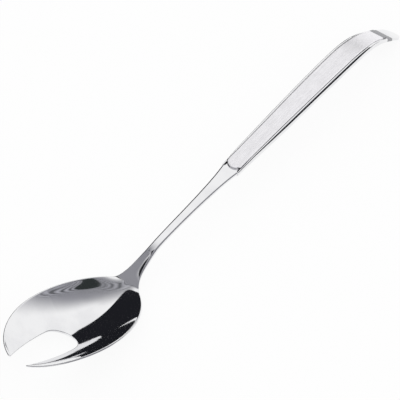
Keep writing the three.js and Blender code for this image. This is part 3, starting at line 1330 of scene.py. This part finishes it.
@dataclass(frozen=True)
class Screen:
    """Straight-edged screen beside the table, which the steel mirrors.

    It reaches up from the table at a turn to its top, past the zenith where that is over a right angle.
    Its upright sides and its bottom, where it has them, are turns and an elevation.
    """

    turn: float
    top: float
    soft: float
    colour: Triple
    sides: tuple[float, float] | None = None
    side_soft: float = 0.01
    bottom: float | None = None

    def over(self, shader: Shader, view: Socket, sky: Socket | tuple[float, ...]) -> Socket:
        """Sets the screen in front of the sky.

        Args:
            shader: The world's shader.
            view: The direction of view.
            sky: The colour behind the screen.

        Returns:
            The colour with the screen.
        """
        below = sky_direction(self.turn, self.top - math.pi / 2)
        mask = shader.towards(view, below).ramp(-self.soft, self.soft)
        if self.sides:
            start, end = self.sides
            for turn in (start + math.pi / 2, end - math.pi / 2):
                inward = shader.towards(view, sky_direction(turn, 0.0))
                mask = mask * inward.ramp(-self.side_soft, self.side_soft)
        if self.bottom is not None:
            foot = math.sin(self.bottom)
            up = shader.towards(view, Vector((0.0, 0.0, 1.0)))
            mask = mask * up.ramp(foot - self.soft, foot + self.soft)
        return shader.blend(mask, sky, self.colour)


@dataclass(frozen=True)
class DarkDish:
    """Dark oval lamp dish overhead, with rings round its middle."""

    turn: float = math.radians(-33.5)
    elevation: float = math.radians(66.3)
    tilt: float = math.radians(74.0)
    length: float = math.radians(30.5)
    width: float = math.radians(3.4)
    bend: float = 0.462
    colour: Triple = (0.030, 0.036, 0.036)
    ring_step: float = 0.2
    ring_shade: float = 0.7
    ring_shine: float = 0.4
    shine_from: float = 0.3
    fades_at: float = 2.2
    core_inner: float = 0.6
    core_outer: float = 0.74
    facing_soft: float = 0.2

    def over(self, shader: Shader, view: Socket, sky: Socket) -> Socket:
        """Sets the dish in front of the sky.

        Args:
            shader: The world's shader.
            view: The direction of view.
            sky: The colour round the dish.

        Returns:
            The colour with the dish.
        """
        middle = sky_direction(self.turn, self.elevation)
        level = Vector((-math.sin(self.turn), math.cos(self.turn), 0.0))
        long = level * math.cos(self.tilt) + middle.cross(level) * math.sin(self.tilt)
        along = shader.towards(view, long)
        across = shader.towards(view, middle.cross(long)) + along * along * self.bend
        facing = shader.towards(view, middle).ramp(0.0, self.facing_soft)
        reach = (along / math.sin(self.length)).far(across / math.sin(self.width))
        rings = ((reach - 1) * (2 * math.pi / self.ring_step)).wave()
        faded = 1 - reach.ramp(1.0, self.fades_at)
        core = 1 - reach.ramp(self.core_inner, self.core_outer)
        dark = core.most(rings.ramp(0.0, 1.0) * faded * self.ring_shade) * facing
        light = (0 - rings).ramp(self.shine_from, 1.0) * faded * facing * self.ring_shine
        return shader.blend(dark, shader.scaled(sky, 1 + light), self.colour)


@dataclass(frozen=True)
class Studio:
    """Pale floor under a white sky, with grey and black screens that the steel mirrors."""

    floor_size: float = 6.0
    floor_colour: Triple = (0.92, 0.92, 0.92)
    floor_glow: float = 0.88
    sky: Triple = (1.0, 1.0, 1.0)
    scrim: Screen = Screen(
        turn=math.radians(-119),
        top=math.radians(103),
        soft=0.16,
        colour=(0.30, 0.30, 0.33),
        sides=(math.radians(-95), math.radians(60)),
        side_soft=0.12,
    )
    ceiling: Screen = Screen(
        turn=math.radians(-151.8),
        top=math.radians(111),
        soft=0.18,
        colour=(0.30, 0.30, 0.325),
        bottom=math.radians(42),
    )
    dish: DarkDish = DarkDish()
    flag: Screen = Screen(
        turn=math.radians(102.5),
        top=math.radians(62.5),
        soft=0.006,
        colour=BLACK,
        sides=(math.radians(27), math.radians(84)),
    )
    lower_flag: Screen = Screen(
        turn=math.radians(95),
        top=math.radians(47),
        soft=0.05,
        colour=BLACK,
        sides=(math.radians(27), math.radians(135)),
    )
    near_flag: Screen = Screen(turn=math.radians(-85), top=math.radians(18), soft=0.02, colour=BLACK)

    def build(self) -> None:
        """Makes the floor and the world's light."""
        self.add_floor()
        self.add_light()

    def add_floor(self) -> None:
        """Lays the floor, white to the eye and with the spoon's soft shadow."""
        bm = bmesh.new()
        bmesh.ops.create_grid(bm, x_segments=1, y_segments=1, size=self.floor_size / 2)
        mesh = bpy.data.meshes.new("floor")
        bm.to_mesh(mesh)
        bm.free()
        floor = bpy.data.objects.new("floor", mesh)
        bpy.context.scene.collection.objects.link(floor)
        material = bpy.data.materials.new("pale_floor")
        material.use_nodes = True
        shader = Shader(material.node_tree)
        lit = shader.node("ShaderNodeBsdfDiffuse", None, {"Color": (*self.floor_colour, 1.0)})
        white = shader.node("ShaderNodeEmission", None, {"Strength": 1.0})
        glow = shader.seen() * self.floor_glow
        surface = shader.node("ShaderNodeMixShader", None, {0: glow, 1: lit, 2: white})
        shader.node("ShaderNodeOutputMaterial", None, {"Surface": surface})
        mesh.materials.append(material)

    def add_light(self) -> None:
        """Lights the room from all round, as a tent does."""
        world = bpy.data.worlds.new("soft_light")
        world.use_nodes = True
        bpy.context.scene.world = world
        shader = Shader(world.node_tree)
        view = shader.coordinate((1.0, 1.0, 1.0))
        sky: Socket | tuple[float, ...] = self.sky
        for screen in (self.scrim, self.ceiling, self.dish, self.flag, self.lower_flag, self.near_flag):
            sky = screen.over(shader, view, sky)
        sky = shader.blend(1 - shader.seen(), sky, self.sky)
        light = shader.node("ShaderNodeBackground", None, {"Color": sky, "Strength": 1.0})
        shader.node("ShaderNodeOutputWorld", None, {"Surface": light})


def main() -> None:
    """Builds the spoon and its studio, and notes each piece."""
    logging.basicConfig(level=logging.INFO, format="%(name)s: %(message)s")
    lines = SpoonLines()
    # Painted shade across the joint of the cover and the end cap.
    shade_band = PaintedShadeBand(lines.place.x + lines.cover_end_at)
    polished = PolishedSteel().material()
    pieces = [
        Blade(lines).build(polished),
        LowerShell(lines).build(polished),
        Cover(lines).build(SatinSteel(shade_band=shade_band).material()),
        EndCap(lines).build(PolishedSteel("shade_banded_polished_steel", shade_band=shade_band).material()),
    ]
    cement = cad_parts["tang_cement"]
    cement.data.materials.clear()
    cement.data.materials.append(Cement().material())
    Viewpoint().build()
    Studio().build()
    bpy.context.scene.view_settings.view_transform = "Standard"
    for piece in pieces:
        log.info("%s: %d faces before its modifiers", piece.name, len(piece.data.polygons))


if __name__ == "__main__":
    main()
